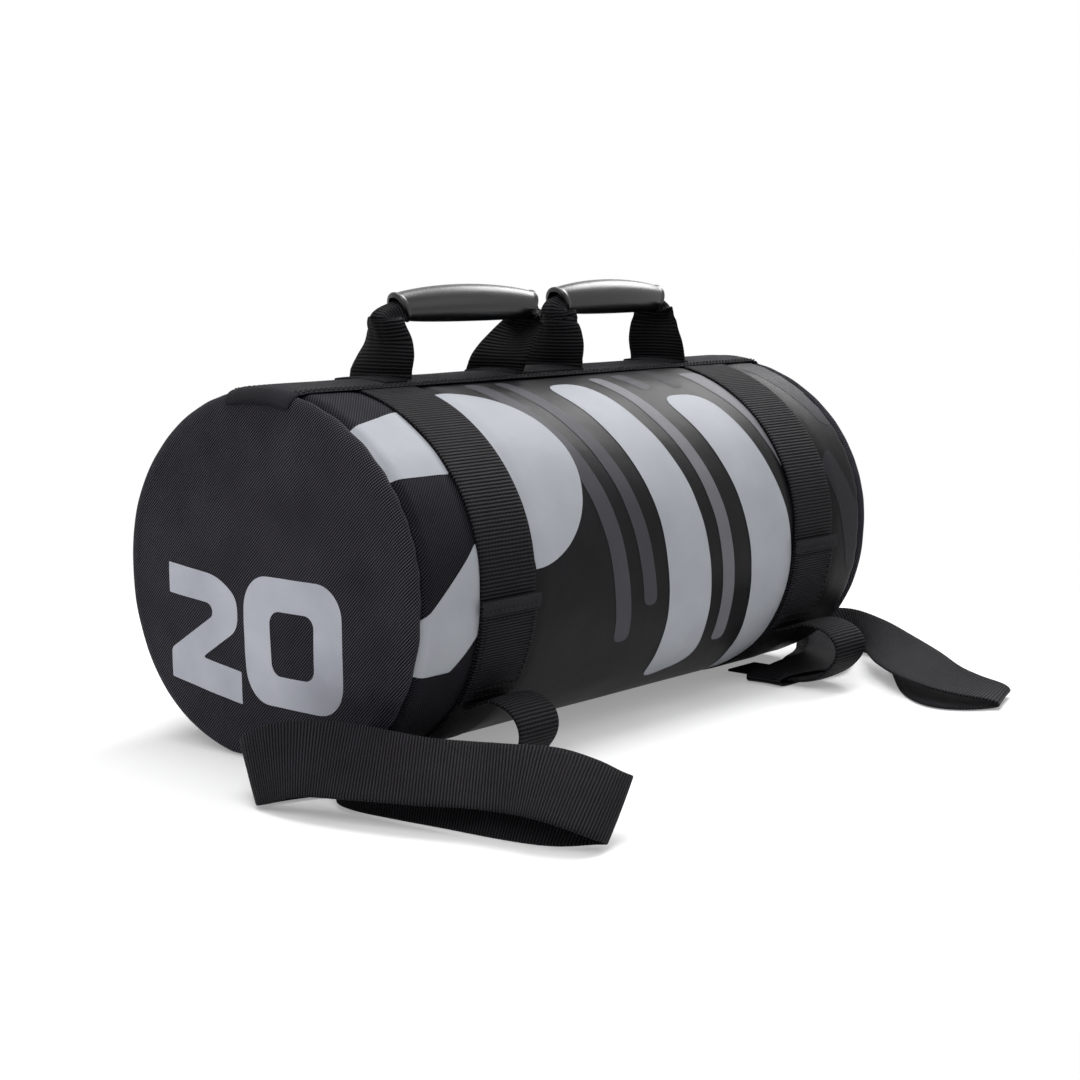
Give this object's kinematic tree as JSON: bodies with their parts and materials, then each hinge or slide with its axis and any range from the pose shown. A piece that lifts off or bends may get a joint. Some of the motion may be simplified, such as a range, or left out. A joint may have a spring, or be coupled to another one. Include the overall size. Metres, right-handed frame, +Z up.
{
  "type": "sandbag trainer",
  "caption": "Sand-filled cylindrical training bag with webbing handles in split moulded grips along its top and long hand loops threaded through short links at its foot",
  "frame": {"origin": "on the floor under the middle of the bag, in its flat base", "axes": "+X along the bag from the front end cap to the rear one, +Z up, patches and loops on the -Y side"},
  "size_m": [0.6474, 0.4152, 0.2998],
  "materials": {
    "coated_fabric": "satin coated polyester with flat grey printing",
    "woven_polyester": "heavy matt woven polyester",
    "webbing": "ribbed black webbing",
    "grip_rubber": "smooth satin moulding",
    "foam": "closed-cell foam",
    "sack_film": "thick polyethylene film",
    "sand": "dry loose sand, kept as one solid",
    "nylon": "moulded nylon"
  },
  "bodies": {
    "bag": {"body_panel": "coated_fabric", "centre_handle_tape": "webbing", "filler_sack": "sack_film", "filling": "sand", "foam_lining": "foam", "front_end_cap": "woven_polyester", "front_foam_pad": "foam", "front_handle_tape": "webbing", "front_patch": "webbing", "front_strap": "webbing", "rear_end_cap": "woven_polyester", "rear_foam_pad": "foam", "rear_handle_tape": "webbing", "rear_patch": "webbing", "rear_strap": "webbing", "sack_tie": "nylon", "top_strip": "woven_polyester"},
    "front_outer_leg": {"front_handle_outer_leg": "webbing"},
    "front_grip": {"front_handle_grip": "grip_rubber", "front_handle_core": "webbing"},
    "front_inner_leg": {"front_handle_inner_leg": "webbing"},
    "front_link": {"front_link_loop": "webbing"},
    "front_loop": {"front_hand_loop": "webbing"},
    "rear_outer_leg": {"rear_handle_outer_leg": "webbing"},
    "rear_grip": {"rear_handle_grip": "grip_rubber", "rear_handle_core": "webbing"},
    "rear_inner_leg": {"rear_handle_inner_leg": "webbing"},
    "rear_link": {"rear_link_loop": "webbing"},
    "rear_loop": {"rear_hand_loop": "webbing"}
  },
  "joints": [
    {"name": "front_handle_lean", "type": "hinge", "parent": "bag", "child": "front_outer_leg", "pos_m": [-0.1475, 0, 0.24159], "axis": [0, 1, 0], "range_deg": [-90, 19]},
    {"name": "front_grip_hang", "type": "hinge", "parent": "front_outer_leg", "child": "front_grip", "pos_m": [-0.1295, -0.00099, 0.27189], "axis": [0, 1, 0], "range_deg": [-19, 90]},
    {"name": "front_inner_leg_lean", "type": "hinge", "parent": "bag", "child": "front_inner_leg", "pos_m": [-0.0335, 0, 0.24159], "axis": [0, 1, 0], "range_deg": [-90, 19]},
    {"name": "front_link_lift", "type": "hinge", "parent": "bag", "child": "front_link", "pos_m": [-0.168, -0.11124, 0.0413], "axis": [-1, 0, 0], "range_deg": [0, 40], "deforming": ["front_link_loop"]},
    {"name": "front_loop_lift", "type": "hinge", "parent": "front_link", "child": "front_loop", "pos_m": [-0.168, -0.10816, 0.00446], "axis": [-0.9727, 0.232, 0], "range_deg": [0, 24], "deforming": ["front_link_loop"]},
    {"name": "rear_handle_lean", "type": "hinge", "parent": "bag", "child": "rear_outer_leg", "pos_m": [0.1475, 0, 0.24159], "axis": [0, 1, 0], "range_deg": [-50, 60]},
    {"name": "rear_grip_hang", "type": "hinge", "parent": "rear_outer_leg", "child": "rear_grip", "pos_m": [0.1475, -0.002, 0.27309], "axis": [0, 1, 0], "range_deg": [-60, 50]},
    {"name": "rear_inner_leg_lean", "type": "hinge", "parent": "bag", "child": "rear_inner_leg", "pos_m": [0.0335, 0, 0.24159], "axis": [0, 1, 0], "range_deg": [-50, 60]},
    {"name": "rear_link_lift", "type": "hinge", "parent": "bag", "child": "rear_link", "pos_m": [0.174, -0.11124, 0.0413], "axis": [-1, 0, 0], "range_deg": [0, 40], "deforming": ["rear_link_loop"]},
    {"name": "rear_loop_lift", "type": "hinge", "parent": "rear_link", "child": "rear_loop", "pos_m": [0.174, -0.10816, 0.00446], "axis": [-0.9727, -0.232, 0], "range_deg": [0, 24], "deforming": ["rear_link_loop"]}
  ],
  "couplings": [
    {"joint": "front_grip_hang", "follows": "front_handle_lean", "ratio": -1},
    {"joint": "front_inner_leg_lean", "follows": "front_handle_lean", "ratio": 1},
    {"joint": "rear_grip_hang", "follows": "rear_handle_lean", "ratio": -1},
    {"joint": "rear_inner_leg_lean", "follows": "rear_handle_lean", "ratio": 1}
  ]
}
